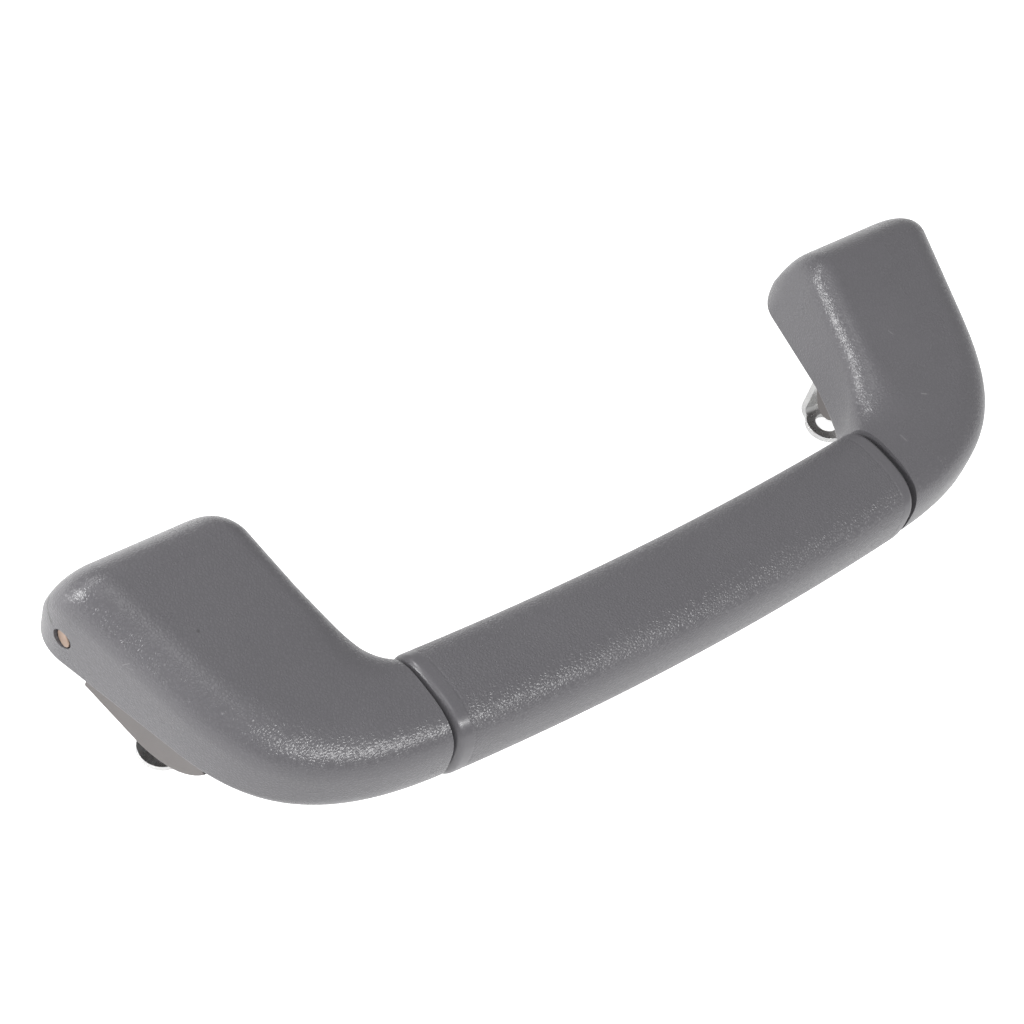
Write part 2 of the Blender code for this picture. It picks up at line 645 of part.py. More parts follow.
def torsion_spring(side_name, side, mat):
    """A coil round the bush; one leg lies under the bracket's peg, the other on the arm's ledge."""
    start_x = CHEEK_OUTER_X + CLEARANCE + WIRE_RADIUS
    points = [Vector((start_x, PIN_Y - SPRING_LEG, PIN_Z - COIL_RADIUS))]
    steps = round(SPRING_TURNS * COIL_STEPS)
    for k in range(steps + 1):
        turn = -math.pi / 2 + 2 * math.pi * k / COIL_STEPS
        x = start_x + SPRING_PITCH * k / COIL_STEPS
        points.append(Vector((x, PIN_Y + COIL_RADIUS * math.cos(turn), PIN_Z + COIL_RADIUS * math.sin(turn))))
    points.append(points[-1] + Vector((0.0, -SPRING_LEG, 0.0)))
    rings = []
    for k, point in enumerate(points):
        ahead = (points[min(k + 1, len(points) - 1)] - points[max(k - 1, 0)]).normalized()
        across = Vector((1.0, 0.0, 0.0)) - ahead * ahead.x
        across.normalize()
        up = ahead.cross(across)
        rings.append([point + (across * math.cos(a) + up * math.sin(a)) * WIRE_RADIUS
                      for a in (2 * math.pi * n / WIRE_SIDES for n in range(WIRE_SIDES))])
    bm = bmesh.new()
    fill_loft(bm, rings)
    return make("torsion_spring_" + side_name, bm, mat, side, smooth=60.0)


def inner_gap():
    """The stretch of the pin between the inner boss and the bracket."""
    start = inner_side_x(PIN_Y) + WALL + BOSS_LENGTH + CLEARANCE
    return start, CHEEK_INNER_X - CLEARANCE


def pin_spacer(side_name, side, mat):
    start, end = inner_gap()
    return make("pin_spacer_" + side_name, ring_x(start, end, BUSH_RADIUS + BUSH_WALL, PIN_SEAT_RADIUS), mat, side)


def damper_housing(side_name, side, mat):
    """The barrel of the oil damper, with a tail that the arm's front wall holds."""
    start, end = inner_gap()
    barrel = make("damper_housing_" + side_name,
                  ring_x(start, end - DAMPER_CAP, DAMPER_RADIUS, DAMPER_ROTOR_RADIUS + CLEARANCE), mat, side)
    tail_top = front_height(PIN_Y - DAMPER_RADIUS) - WALL - CLEARANCE
    tail = box((start + MM, PIN_Y - DAMPER_RADIUS, PIN_Z + DAMPER_ROTOR_RADIUS + 2 * CLEARANCE),
               (end - DAMPER_CAP - MM, PIN_Y - DAMPER_RADIUS + WALL, tail_top))
    combine(barrel, helper("damper_tail_" + side_name, tail, side), "UNION")
    return barrel


def damper_rotor(side_name, side, mat, hinge):
    """The turned rotor of the damper, whose flange turns with the bracket."""
    start, end = inner_gap()
    rotor = make("damper_rotor_" + side_name, ring_x(start, end, DAMPER_ROTOR_RADIUS, PIN_SEAT_RADIUS),
                 mat, side, hinge)
    flange = ring_x(end - DAMPER_CAP + CLEARANCE, end, KNUCKLE_RADIUS, PIN_SEAT_RADIUS + MM)
    combine(rotor, helper("damper_flange_" + side_name, flange, side, hinge), "UNION")
    return rotor


def stop_pad(side_name, side, mat):
    low = PIN_Z - STOP_DROP + CLEARANCE
    y = PIN_Y + STOP_Y
    bm = box((CHEEK_OUTER_X - STOP_WIDTH, y, low), (CHEEK_OUTER_X, y + STOP_LENGTH, low + STOP_PAD_THICKNESS))
    return make("stop_pad_" + side_name, bm, mat, side)


def main():
    for obj in list(bpy.data.objects):
        bpy.data.objects.remove(obj, do_unlink=True)
    moulding = material("handle_moulding", (0.135, 0.132, 0.140), 0.55)
    sleeve = material("sleeve_skin", (0.130, 0.127, 0.135), 0.60)
    bracket = material("bracket_moulding", (0.225, 0.205, 0.200), 0.60)
    zinc = material("zinc_steel", (0.78, 0.78, 0.77), 0.28, 1.0)
    pin = material("yellow_zinc", (0.72, 0.55, 0.42), 0.35, 1.0)
    wire = material("spring_steel", (0.42, 0.42, 0.44), 0.35, 1.0)
    acetal = material("white_acetal", (0.78, 0.77, 0.72), 0.45)
    damper = material("damper_black", (0.03, 0.03, 0.03), 0.45)
    rubber = material("stop_rubber", (0.02, 0.02, 0.02), 0.85)
    handle_frame(moulding)
    grip_sleeve(sleeve)
    for side_name, side in SIDES.items():
        hinge = hinge_empty(side_name, side)
        hinge_pin(side_name, side, pin)
        bracket_body(side_name, side, bracket, hinge)
        screw_strap(side_name, side, zinc, hinge)
        spring_bush(side_name, side, acetal)
        torsion_spring(side_name, side, wire)
        stop_pad(side_name, side, rubber)
        if side_name == "right":
            damper_housing(side_name, side, damper)
            damper_rotor(side_name, side, acetal, hinge)
        else:
            pin_spacer(side_name, side, acetal)


main()
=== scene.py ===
"""Roof grab handle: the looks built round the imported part."""
import math

import bmesh
import bpy
import numpy as np
from mathutils import Matrix, Vector


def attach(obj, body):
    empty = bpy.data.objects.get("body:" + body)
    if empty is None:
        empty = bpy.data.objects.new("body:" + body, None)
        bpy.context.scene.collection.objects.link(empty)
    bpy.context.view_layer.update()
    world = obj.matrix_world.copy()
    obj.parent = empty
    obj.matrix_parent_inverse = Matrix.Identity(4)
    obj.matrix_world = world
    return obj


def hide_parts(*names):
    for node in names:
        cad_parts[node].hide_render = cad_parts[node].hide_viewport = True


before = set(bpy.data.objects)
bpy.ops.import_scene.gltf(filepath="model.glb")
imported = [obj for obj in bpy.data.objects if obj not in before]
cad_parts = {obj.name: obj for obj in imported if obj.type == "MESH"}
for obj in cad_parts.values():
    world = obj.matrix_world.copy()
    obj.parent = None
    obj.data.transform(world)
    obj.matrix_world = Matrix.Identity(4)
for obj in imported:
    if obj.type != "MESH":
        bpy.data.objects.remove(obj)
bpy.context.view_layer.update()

MM = 0.001
SIDES = {"left": -1, "right": 1}

# The handle's sizes. They are the part's own, except that the grip's section, the seams and the
# inner side of the arms are drawn closer to the photograph here.
CLEARANCE = 0.3 * MM
DEPTH = 74.4 * MM
HALF_LENGTH = 119.0 * MM
ARM_WIDTH = 40.15 * MM
OUTER_SPLAY = 0.304
INNER_SPLAY = 0.222
OUTER_SIDE_FOOT = 37.8 * MM
INNER_SIDE_FOOT = 46.7 * MM
OUTER_CORNER_REACH = (34.3 * MM, 17.8 * MM)
INNER_CORNER_REACH = (5.3 * MM, 15.1 * MM)
INNER_CORNER_TURN = math.radians(43.6)
NOSE_LENGTH = 14.7 * MM
NOSE_OUTER_RADIUS = 13.7 * MM
NOSE_INNER_RADIUS = 7.9 * MM
ARM_FRONT_HEIGHT = 57.0 * MM
ARM_DEPTH = 24.3 * MM
GRIP_SETBACK = 9.5 * MM
NOSE_DROP = 29.9 * MM
CHIN_RADIUS = 5.3 * MM
OUTER_EDGE = (9.4 * MM, 8.8 * MM)
INNER_EDGE = (5.8 * MM, 6.2 * MM)
RIM_EDGE_RADIUS = 1.0 * MM
WALL = 2.6 * MM
SEAM_INSET = 13.35 * MM
GRIP_WIDTH = 24.9 * MM
GRIP_END_WIDTH = 24.6 * MM
GRIP_THICKNESS = 23.7 * MM
GRIP_BOW = 2.45 * MM
GRIP_FRONT_SHARE = 0.43
GRIP_FRONT_POWER = 0.73
GRIP_BACK_POWER = 0.83
SLEEVE_WALL = 3.0 * MM
SLEEVE_ROLL = 1.8 * MM
SEAM_STEP = 0.4 * MM
SEAM_GROOVE = 0.9 * MM
PIN_INSET = 13.0 * MM
PIN_RISE = 8.0 * MM
PIN_RADIUS = 2.0 * MM
PIN_SEAT_RADIUS = PIN_RADIUS + CLEARANCE
PIN_MOUTH_RADIUS = 2.3 * MM
PIN_MOUTH_DEPTH = 1.2 * MM
PIN_SEAT_SKIN = 1.4 * MM
BOSS_RADIUS = 4.6 * MM
BOSS_LENGTH = 2.6 * MM
BRACKET_INSET = 20.4 * MM
SHIELD_OFFSET = 8.0 * MM
LUG_OFFSET = 6.2 * MM
SHIELD_TOE = (-34.2 * MM, 4.1 * MM)
STOP_DROP = 5.5 * MM
STOP_Y = -22.0 * MM
STOP_LENGTH = 6.0 * MM
STOP_WIDTH = 3.8 * MM
STOP_PAD_THICKNESS = 2.2 * MM
SPRING_LEG = 12.5 * MM
WIRE_RADIUS = 0.7 * MM
BUSH_WALL = 0.8 * MM
LEDGE_WIDTH = 2.0 * MM
LEDGE_HEIGHT = 3.4 * MM
RIB_THICKNESS = 1.6 * MM
RIB_RECESS = 4.0 * MM
RIB_SWING_GAP = 2.5 * MM
NOTCH_SIDE_GAP = 0.8 * MM
NOTCH_TOP = 6.0 * MM
CAVITY_START = 0.42
CORNER_BLEND = 0.9
EDGE_LIMIT = 0.98
FRONT_EDGE_LIMIT = 0.6
RIM_EDGE_LIMIT = 0.3
COLLAR_LENGTH = 4.6 * MM
COLLAR_CREASE = 0.5 * MM
COLLAR_SINK = 0.06 * MM

# Places that follow from the length and from the front
SEAM_X = HALF_LENGTH - ARM_WIDTH - SEAM_INSET
RIM_HEIGHT = ARM_FRONT_HEIGHT - ARM_DEPTH
GRIP_FRONT_HEIGHT = ARM_FRONT_HEIGHT - GRIP_SETBACK
PIN_Z = RIM_HEIGHT + PIN_RISE

# How finely the skins are drawn
SKIN_POINTS = 15
SKIN_CORNER_STEPS = 48
SKIN_ARM_STEPS = 14
SKIN_NOSE_STEPS = 26
SLEEVE_STEPS = 90
SLEEVE_END_STEPS = 14
COLLAR_STEPS = 16
CORE_STEPS = 12
HOLLOW_POINTS = 8
HOLLOW_STEPS = 18
HOLLOW_ARM_STEPS = 4
CIRCLE_STEPS = 56
NOSE_CUT_HALVINGS = 40

# Angles above which an edge is shaded sharp, and how the edges of the carried solids are eased
SMOOTH_ANGLE = math.radians(32)
SLEEVE_SMOOTH_ANGLE = math.radians(50)
EASED_ANGLE = math.radians(40)
FLAT_ANGLE = math.radians(0.5)
WELD_DISTANCE = 0.001 * MM
EASED_SEGMENTS = 3

# The looks of the materials: a colour, the colour it drifts to, and the range of its roughness
MOULDING_LOOKS = ((0.105, 0.102, 0.110), (0.115, 0.112, 0.120), (0.25, 0.31))
SLEEVE_LOOKS = ((0.105, 0.102, 0.110), (0.114, 0.111, 0.119), (0.28, 0.34))
BRACKET_LOOKS = ((0.120, 0.110, 0.108), (0.139, 0.129, 0.126), (0.55, 0.66))
ZINC_LOOKS = ((0.80, 0.80, 0.79), (0.70, 0.70, 0.70), (0.20, 0.34))
YELLOW_ZINC_LOOKS = ((0.42, 0.31, 0.25), (0.33, 0.25, 0.20), (0.45, 0.58))
WIRE_LOOKS = ((0.42, 0.42, 0.44), (0.34, 0.34, 0.36), (0.28, 0.42))
ACETAL_LOOKS = ((0.76, 0.75, 0.70), (0.70, 0.69, 0.63), (0.38, 0.48))
DAMPER_LOOKS = ((0.030, 0.030, 0.031), (0.040, 0.040, 0.041), (0.40, 0.50))
RUBBER_LOOKS = ((0.022, 0.022, 0.022), (0.032, 0.031, 0.030), (0.78, 0.88))

# The grain of the two skins, in metres
GRAIN_CELLS_PER_METRE = 1400.0
GRAIN_WARP = 0.4 * MM
GRAIN_DRIFTS_PER_METRE = 420.0
GRAIN_DRIFT_DETAIL = 2.0
GRAIN_SMOOTHNESS = 0.35
MOULDING_GRAIN_DEPTH = 0.05 * MM
SLEEVE_GRAIN_DEPTH = 0.08 * MM
CREASE_SHARPNESS = 5.0
# The painted shade in the grain's creases: the share of the colour left there, and how strongly it
# is laid on
CREASE_SHADE_TONE = 0.72
CREASE_SHADE_STRENGTH = 0.3
SKIN_PATCHES_PER_METRE = 55.0
COLLAR_ROUGHNESS = 0.29
COLLAR_HEIGHT = 0.5
COLLAR_FADE = 0.8 * MM

# The surfaces of the hard pieces: patches per metre, their contrast, fine patches per metre, and
# the depth of the fine ones
PLASTIC_TEXTURE = (140.0, 1.6, 2600.0, 0.01 * MM)
STEEL_TEXTURE = (300.0, 2.2, 3500.0, 0.004 * MM)
FINE_CONTRAST = 1.0
CLOUD_CONTRAST = 1.6
CLOUD_DETAIL = 4.0
STROKE_FADE_SHARE = 0.3

# Kinds of sockets, the vector maths that gives a number, and the numbers of a Mix node's two
# inputs and its output
FLOAT = "NodeSocketFloat"
VECTOR = "NodeSocketVector"
MEASURING_OPERATIONS = ("DISTANCE", "LENGTH", "DOT_PRODUCT")
MIX_SOCKETS = {"RGBA": (6, 7, 2), "FLOAT": (2, 3, 0)}

# A dark dot on the left arm, in mm: its place, radius, fade, colour and strength
DOTS = (
    ((-101.3, 7.1, 53.6), 0.45, 0.4, (0.035, 0.033, 0.032), 0.9),
)

# Fine lines on the arms, in mm: the painted shadow of the witness line on the left nose, and the
# scuffs.
# Each has its place, the way across it, its reach, half its width, its colour and its strength.
WITNESS_SHADOW_TONE = (0.025, 0.025, 0.025)
SCUFF_TONE = (0.24, 0.235, 0.24)
STROKES = (
    ((-119.7, 30.1, 44.2), (0.15, 0.71, -0.69), 3.4, 0.42, WITNESS_SHADOW_TONE, 0.9),
    ((-114.9, 10.2, 48.0), (0.0, 0.8, 0.6), 1.2, 0.08, SCUFF_TONE, 0.6),
    ((-114.5, 9.2, 47.6), (0.0, 0.3, 0.95), 0.9, 0.07, SCUFF_TONE, 0.5),
    ((86.6, 2.8, 52.6), (0.9, 0.4, 0.0), 0.9, 0.12, SCUFF_TONE, 0.4),
    ((83.9, -13.5, 49.4), (0.5, 0.8, 0.0), 0.8, 0.14, SCUFF_TONE, 0.5),
    ((71.4, -20.4, 47.8), (1.0, 0.1, 0.0), 1.3, 0.16, SCUFF_TONE, 0.35),
)

# The studio. Each light has the way to it from the camera's aim, its distance, its width and
# height, and its power.
SOFT_BOXES = {
    "left_box": ((-0.85, 0.40, 0.30), 0.9, (0.36, 0.20), 5.0),
    "streak_box": ((-0.76, 0.51, 0.38), 0.9, (0.05, 0.50), 1.2),
    "front_box": ((-0.30, 0.05, 0.94), 1.1, (0.50, 0.30), 1.4),
    "near_box": ((0.0, -0.77, 0.64), 1.0, (0.90, 0.04), 8.0),
    "far_box": ((-0.31, 0.72, 0.62), 1.0, (0.36, 0.10), 2.4),
}
WORLD_LIGHT = 0.40
FLOOR_SIZE = 3.0
FLOOR_DROP = 0.4 * MM
FLOOR_SEEN_LIGHT = 0.7
FLOOR_MIRRORED_LIGHT = 0.2
WHITE = (1.0, 1.0, 1.0, 1.0)
PAPER_COLOR = (0.92, 0.92, 0.92, 1.0)
PAPER_ROUGHNESS = 0.9

# The photograph's camera, square frame
VIEW_AIM = Vector((-18.42, 8.72, 40.02)) * MM
VIEW_AZIMUTH = math.radians(-52.941)
VIEW_ELEVATION = math.radians(49.790)
VIEW_ROLL = math.radians(-20.216)
VIEW_DISTANCE = 515.2 * MM
FOCAL_PIXELS = 2404.1
FRAME_PIXELS = 1024.0
SENSOR_WIDTH = 36.0
VIEW_LENS = SENSOR_WIDTH * FOCAL_PIXELS / FRAME_PIXELS
CLIP_START = 0.01


def quarter_drop(distance, reach, height):
    """How far a rounded end has fallen at a distance from its tip, on a quarter of an ellipse."""
    if distance >= reach:
        return 0.0
    share = 1 - distance / reach
    return height * (1 - math.sqrt(max(1 - share * share, 0.0)))


def nose_heights(distance):
    """Front and back heights of the nose at a distance from where its curves would meet."""
    front = ARM_FRONT_HEIGHT - quarter_drop(distance, NOSE_LENGTH, NOSE_DROP)
    return front, RIM_HEIGHT + quarter_drop(distance, CHIN_RADIUS, CHIN_RADIUS)


def nose_cut():
    """How far the nose is cut back, to where its front and back are two rim radii apart."""
    near, far = 0.0, CHIN_RADIUS
    for _ in range(NOSE_CUT_HALVINGS):
        middle = (near + far) / 2
        front, back = nose_heights(middle)
        near, far = (near, middle) if front - back > 2 * RIM_EDGE_RADIUS else (middle, far)
    return far


# Places that follow from the nose
NOSE_TIP_Y = DEPTH / 2
NOSE_END_Y = NOSE_TIP_Y + nose_cut()
NOSE_START_Y = NOSE_END_Y - NOSE_LENGTH
PIN_Y = NOSE_END_Y - PIN_INSET
GRIP_EDGE_Y = -DEPTH / 2
GRIP_BACK_HEIGHT = GRIP_FRONT_HEIGHT - GRIP_THICKNESS
BRACKET_X = HALF_LENGTH - BRACKET_INSET
CHEEK_INNER_X = BRACKET_X - LUG_OFFSET
CHEEK_OUTER_X = BRACKET_X + SHIELD_OFFSET
SHIELD_REACH = math.hypot(SHIELD_TOE[0], PIN_RISE + SHIELD_TOE[1])
BUSH_RADIUS = PIN_SEAT_RADIUS + BUSH_WALL
COIL_RADIUS = BUSH_RADIUS + CLEARANCE + WIRE_RADIUS


def smoothstep(value):
    t = min(max(value, 0.0), 1.0)
    return t * t * (3 - 2 * t)


def mix(a, b, t):
    return a + (b - a) * t


def bezier(p0, p1, p2, p3, t):
    return (1 - t) ** 3 * p0 + 3 * (1 - t) ** 2 * t * p1 + 3 * (1 - t) * t * t * p2 + t ** 3 * p3


def outer_side_x(y):
    return HALF_LENGTH + OUTER_SPLAY * (y - NOSE_START_Y)


def inner_side_x(y):
    return HALF_LENGTH - ARM_WIDTH + INNER_SPLAY * (y - NOSE_START_Y)


def outer_boss_face():
    return outer_side_x(PIN_Y - BOSS_RADIUS) - WALL - CLEARANCE / 2


def grip_edges(x):
    k = (x / SEAM_X) ** 2
    width = mix(GRIP_WIDTH, GRIP_END_WIDTH, k)
    middle = GRIP_EDGE_Y + GRIP_WIDTH / 2 + GRIP_BOW * k
    return middle - width / 2, middle + width / 2


def front_height(y):
    grip_middle = GRIP_EDGE_Y + GRIP_WIDTH / 2
    share = (y - grip_middle) / (NOSE_START_Y - grip_middle)
    return mix(GRIP_FRONT_HEIGHT, ARM_FRONT_HEIGHT, min(max(share, 0.0), 1.0))


class Station:
    """One section of the skin: its edges in plan, its heights, and 0 for grip or 1 for arm."""

    def __init__(self, outer, inner, front, back, block):
        self.outer = np.array(outer, float)
        self.inner = np.array(inner, float)
        self.front = front
        self.back = back
        self.block = block

    def loop(self, inset=0.0, points=SKIN_POINTS):
        """The section as a loop of points, with a quarter of an oval at each of its four edges."""
        middle = (self.outer + self.inner) / 2
        half = np.linalg.norm(self.outer - self.inner) / 2
        along = (self.outer - self.inner) / (2 * half)
        half -= inset
        front, back = self.front - inset, self.back + inset * (1 - self.block)
        height = front - back
        rim = min(RIM_EDGE_RADIUS, height * RIM_EDGE_LIMIT)
        quarters = ((1, -1, None), (1, 1, OUTER_EDGE), (-1, 1, INNER_EDGE), (-1, -1, None))
        loop = []
        for k, (side, up, edge) in enumerate(quarters):
            edge_w = min(max(edge[0] - inset, MM), half * EDGE_LIMIT) if edge else rim
            edge_h = min(max(edge[1] - inset, MM), height * FRONT_EDGE_LIMIT) if edge else rim
            share = GRIP_FRONT_SHARE if up > 0 else EDGE_LIMIT - GRIP_FRONT_SHARE
            power = mix(GRIP_FRONT_POWER if up > 0 else GRIP_BACK_POWER, 1.0, self.block)
            width = mix(half * EDGE_LIMIT, edge_w, self.block)
            rise = mix(height * share, edge_h, self.block)
            for step in range(points):
                turn = step / (points - 1) * math.pi / 2
                waves = (math.sin(turn), math.cos(turn))
                across, lift = waves if k % 2 == 0 else waves[::-1]
                across, lift = abs(across) ** power, abs(lift) ** power
                s = side * (half - width + width * across)
                z = (front - rise + rise * lift) if up > 0 else (back + rise - rise * lift)
                x, y = middle + along * s
                loop.append(Vector((x, y, z)))
        return loop


def grip_station(x):
    low, high = grip_edges(x)
    return Station((x, low), (x, high), GRIP_FRONT_HEIGHT, GRIP_BACK_HEIGHT, 0.0)


def corner_station(t):
    """A section on the way from the seam, at 0, to the arm's straight sides, at 1."""
    start = SEAM_X + SEAM_GROOVE / 2
    low, high = grip_edges(start)
    low, high = low + SEAM_STEP, high - SEAM_STEP
    slope = 2 * GRIP_BOW * start / SEAM_X ** 2
    grip_way = np.array((1.0, slope)) / math.hypot(1.0, slope)
    slant = math.atan(slope) + INNER_CORNER_TURN
    turned_way = np.array((math.cos(slant), math.sin(slant)))
    edges = []
    for edge_y, foot, side_x, splay, reach, way in (
            (low, OUTER_SIDE_FOOT, outer_side_x, OUTER_SPLAY, OUTER_CORNER_REACH, grip_way),
            (high, INNER_SIDE_FOOT, inner_side_x, INNER_SPLAY, INNER_CORNER_REACH, turned_way)):
        end_y = GRIP_EDGE_Y + foot
        end = np.array((side_x(end_y), end_y))
        back_way = np.array((-splay, -1.0)) / math.hypot(splay, 1.0)
        begin = np.array((start, edge_y))
        edges.append(bezier(begin, begin + way * reach[0], end + back_way * reach[1], end, t))
    step = SEAM_STEP * (1 - smoothstep(t))
    front = front_height((edges[0][1] + edges[1][1]) / 2) - step
    back = mix(GRIP_BACK_HEIGHT, RIM_HEIGHT, smoothstep(t)) + step
    return Station(edges[0], edges[1], front, back, smoothstep(t / CORNER_BLEND))


def arm_station(t):
    """A section of the arm between the corner, at 0, and the nose, at 1."""
    outer_y = mix(GRIP_EDGE_Y + OUTER_SIDE_FOOT, NOSE_START_Y, t)
    inner_y = mix(GRIP_EDGE_Y + INNER_SIDE_FOOT, NOSE_START_Y, t)
    front = front_height((outer_y + inner_y) / 2)
    outer, inner = (outer_side_x(outer_y), outer_y), (inner_side_x(inner_y), inner_y)
    return Station(outer, inner, front, RIM_HEIGHT, 1.0)


def nose_station(y, inset=0.0, back=None):
    """A section of the nose, or of the hollow in it, which has an inset and an open back."""
    left = NOSE_END_Y - inset - y
    outer_in = quarter_drop(left, NOSE_OUTER_RADIUS - inset, NOSE_OUTER_RADIUS - inset)
    inner_in = quarter_drop(left, NOSE_INNER_RADIUS - inset, NOSE_INNER_RADIUS - inset)
    if back is None:
        front, back = nose_heights(left)
    else:
        drop = quarter_drop(left, NOSE_LENGTH - inset, NOSE_DROP - 2 * inset)
        front = ARM_FRONT_HEIGHT - inset - drop
    outer, inner = (outer_side_x(y) - outer_in, y), (inner_side_x(y) + inner_in, y)
    return Station(outer, inner, front, back, 1.0)


def nose_steps(end, count):
    """Places along the nose up to an end, closer together as it rounds."""
    for k in range(1, count + 1):
        yield mix(NOSE_START_Y, end, math.sin(k / count * math.pi / 2))


def join_rows(bm, rows):
    """Faces between each row of points and the next."""
    for a, b in zip(rows[:-1], rows[1:]):
        for k in range(len(a)):
            j = (k + 1) % len(a)
            bm.faces.new((a[k], a[j], b[j], b[k]))


def fill_loft(bm, rings):
    """A closed skin over a row of loops, with a face at each end."""
    rows = [[bm.verts.new(p) for p in ring] for ring in rings]
    join_rows(bm, rows)
    bm.faces.new(rows[0][::-1])
    bm.faces.new(rows[-1])
    bmesh.ops.recalc_face_normals(bm, faces=bm.faces)
    bmesh.ops.triangulate(bm, faces=[face for face in bm.faces if len(face.verts) == 4])


def mirrored(rings):
    return [[Vector((-p.x, p.y, p.z)) for p in ring] for ring in rings]


def circle(y, z, radius):
    turns = [2 * math.pi * k / CIRCLE_STEPS for k in range(CIRCLE_STEPS)]
    return [(y + radius * math.cos(turn), z + radius * math.sin(turn)) for turn in turns]


def slab(outline, low, high):
    """An outline in y and z, drawn out in x from low to high."""
    bm = bmesh.new()
    lower = [bm.verts.new((low, a, b)) for a, b in outline]
    upper = [bm.verts.new((high, a, b)) for a, b in outline]
    count = len(outline)
    for k in range(count):
        j = (k + 1) % count
        bm.faces.new((lower[k], lower[j], upper[j], upper[k]))
    bm.faces.new(lower[::-1])
    bm.faces.new(upper)
    bmesh.ops.recalc_face_normals(bm, faces=bm.faces)
    return bm


def box(low, high):
    (x0, y0, z0), (x1, y1, z1) = low, high
    return slab([(y0, z0), (y1, z0), (y1, z1), (y0, z1)], x0, x1)


def mesh_object(name, bm, side=1):
    """A new object from a mesh in the making, mirrored for the left side."""
    if side < 0:
        for vert in bm.verts:
            vert.co.x = -vert.co.x
        bmesh.ops.reverse_faces(bm, faces=bm.faces)
    mesh = bpy.data.meshes.new(name)
    bm.to_mesh(mesh)
    bm.free()
    obj = bpy.data.objects.new(name, mesh)
    bpy.context.collection.objects.link(obj)
    return obj


def carve(obj, cutters):
    """Cut other shapes from an object and leave only the result."""
    for cutter in cutters:
        modifier = obj.modifiers.new(cutter.name, "BOOLEAN")
        modifier.operation = "DIFFERENCE"
        modifier.object = cutter
        modifier.solver = "EXACT"
    graph = bpy.context.evaluated_depsgraph_get()
    result = bpy.data.meshes.new_from_object(obj.evaluated_get(graph))
    obj.modifiers.clear()
    old = obj.data
    obj.data = result
    bpy.data.meshes.remove(old)
    for cutter in cutters:
        data = cutter.data
        bpy.data.objects.remove(cutter)
        bpy.data.meshes.remove(data)
    return obj


def soften(obj, angle):
    obj.data.shade_smooth()
    obj.data.set_sharp_from_angle(angle=angle)


def shown_as(obj, mat, slot, body, *nodes):
    """Give an object its material, and let it move with a body in place of CAD nodes; the slot is
    not used.
    """
    obj.data.materials.clear()
    obj.data.materials.append(mat)
    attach(obj, body)
    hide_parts(*nodes)
    return obj


def arm_rings():
    corner = [corner_station(k / SKIN_CORNER_STEPS) for k in range(SKIN_CORNER_STEPS + 1)]
    arm = [arm_station(k / SKIN_ARM_STEPS) for k in range(1, SKIN_ARM_STEPS + 1)]
    nose = [nose_station(y) for y in nose_steps(NOSE_TIP_Y, SKIN_NOSE_STEPS)]
    return [station.loop() for station in corner + arm + nose]


def hollow_rings():
    below = RIM_HEIGHT - 2 * WALL
    corner = [corner_station(mix(CAVITY_START, 1.0, k / HOLLOW_STEPS))
              for k in range(HOLLOW_STEPS + 1)]
    arm = [arm_station(k / HOLLOW_ARM_STEPS) for k in range(1, HOLLOW_ARM_STEPS + 1)]
    rings = []
    for station in corner + arm:
        station.back = below
        station.block = 1.0
        rings.append(station.loop(WALL, HOLLOW_POINTS))
    for y in nose_steps(NOSE_END_Y - WALL, HOLLOW_STEPS):
        station = nose_station(y, WALL, below)
        station.outer[0] -= WALL
        station.inner[0] += WALL
        rings.append(station.loop(0.0, HOLLOW_POINTS))
    return rings


def hollow(side_name, side):
    """The hollow of an arm, less its bosses, ribs, spring ledge and stop post."""
    bm = bmesh.new()
    fill_loft(bm, hollow_rings())
    body = mesh_object("hollow_" + side_name, bm, side)
    boss = circle(PIN_Y, PIN_Z, BOSS_RADIUS)
    inner_wall = inner_side_x(PIN_Y) + WALL
    rib_y = PIN_Y - SHIELD_REACH - RIB_SWING_GAP
    rib_low = RIM_HEIGHT + RIB_RECESS
    rib_end = rib_y - RIB_THICKNESS / 2
    top = ARM_FRONT_HEIGHT
    ledge_y = PIN_Y - SPRING_LEG + LEDGE_WIDTH / 2
    ledge_top = PIN_Z + COIL_RADIUS - WIRE_RADIUS - CLEARANCE
    ledge_low = ledge_top - LEDGE_HEIGHT
    ledge_x = outer_side_x(ledge_y) - 2 * WALL
    post_low = PIN_Z - STOP_DROP + 2 * CLEARANCE + STOP_PAD_THICKNESS
    post_x = CHEEK_OUTER_X - STOP_WIDTH
    post_y = PIN_Y + STOP_Y
    standing = (
        slab(boss, inner_wall - WALL, inner_wall + BOSS_LENGTH),
        slab(boss, outer_boss_face(), outer_side_x(PIN_Y)),
        box((SEAM_X, rib_y - RIB_THICKNESS, rib_low), (HALF_LENGTH, rib_y, top)),
        box((CHEEK_INNER_X - RIB_THICKNESS, GRIP_EDGE_Y, rib_low), (CHEEK_INNER_X, rib_end, top)),
        box((BRACKET_X - RIB_THICKNESS, GRIP_EDGE_Y, rib_low), (BRACKET_X, rib_end, top)),
        box((ledge_x, ledge_y - LEDGE_WIDTH, ledge_low), (HALF_LENGTH, ledge_y, ledge_top)),
        box((post_x, post_y, post_low), (CHEEK_OUTER_X, post_y + STOP_LENGTH, top)),
    )
    return carve(body, [mesh_object("standing", shape, side) for shape in standing])


def bore(side):
    """The blind bore of a hinge pin, with a slightly wider mouth."""
    start = inner_side_x(PIN_Y) + PIN_SEAT_SKIN
    mouth = outer_side_x(PIN_Y) - PIN_MOUTH_DEPTH
    outside = HALF_LENGTH + NOSE_LENGTH
    steps = ((start, PIN_SEAT_RADIUS), (mouth, PIN_SEAT_RADIUS),
             (mouth, PIN_MOUTH_RADIUS), (outside, PIN_MOUTH_RADIUS))
    bm = bmesh.new()
    fill_loft(bm, [[Vector((x, y, z)) for y, z in circle(PIN_Y, PIN_Z, radius)]
                   for x, radius in steps])
    return mesh_object("bore", bm, side)


